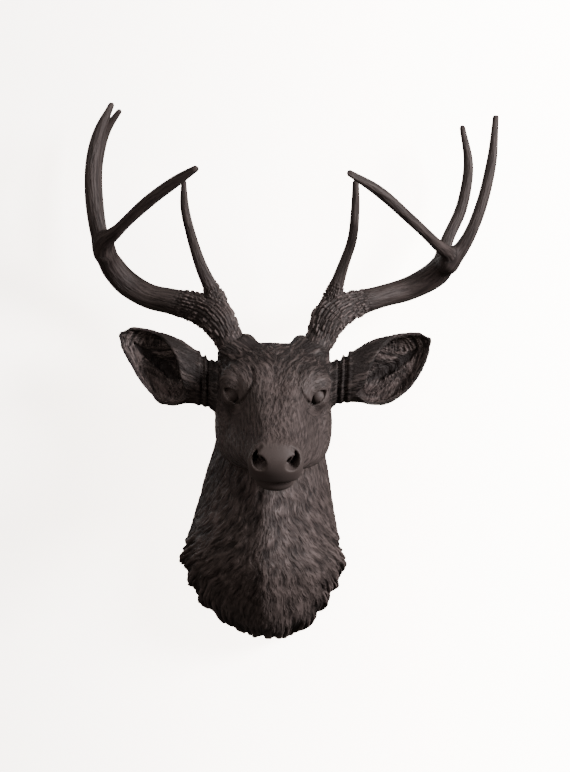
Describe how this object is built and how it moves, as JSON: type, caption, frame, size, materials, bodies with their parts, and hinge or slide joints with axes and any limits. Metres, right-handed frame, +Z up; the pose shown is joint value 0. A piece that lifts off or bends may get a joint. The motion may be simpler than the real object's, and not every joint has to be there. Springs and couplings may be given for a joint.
{
  "type": "faux deer head wall mount",
  "caption": "Black cast resin stag's head and neck with branching antlers, flat behind, to hang on a wall by a keyhole.",
  "frame": {"origin": "on the flat back that lies against the wall, on the centre line, 30 mm below the keyhole's round end", "axes": "+Y into the wall, so the face looks along -Y; +Z up, towards the antlers' tips; +X to the viewer's right"},
  "size_m": [0.4143, 0.2421, 0.5435],
  "materials": {
    "head_resin": "matt black over moulded fur",
    "antler_resin": "matt black over moulded antler grain"
  },
  "bodies": {
    "root": {"head": "head_resin", "antler_left": "antler_resin", "antler_right": "antler_resin"}
  },
  "joints": []
}
